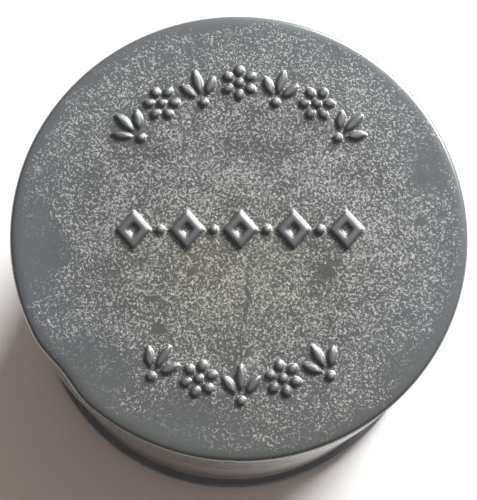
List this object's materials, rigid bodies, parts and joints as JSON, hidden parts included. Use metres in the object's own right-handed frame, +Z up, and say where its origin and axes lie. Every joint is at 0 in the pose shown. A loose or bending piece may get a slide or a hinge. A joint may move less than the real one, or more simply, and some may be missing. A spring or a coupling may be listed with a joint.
{
  "type": "clotted cream tin",
  "caption": "Round tinplate tin with a slip lid, shut and standing, its flat lid embossed with sprays, daisies and diamonds.",
  "frame": {"origin": "centre of the base, on the surface that the tin stands on", "axes": "+Z up along the tin's axis; +X to the right along the straight row of the lid's ornament; the wall's side seam faces +Y"},
  "size_m": [0.0636, 0.0636, 0.047],
  "materials": {
    "lid_tinplate": "tarnished slate-grey tinplate with fine pale worm-like speckle, satin",
    "body_tinplate": "dulled bare tinplate, satin, darker at the base seam"
  },
  "bodies": {
    "root": {"lid": "lid_tinplate", "tin_body": "body_tinplate"}
  },
  "joints": []
}
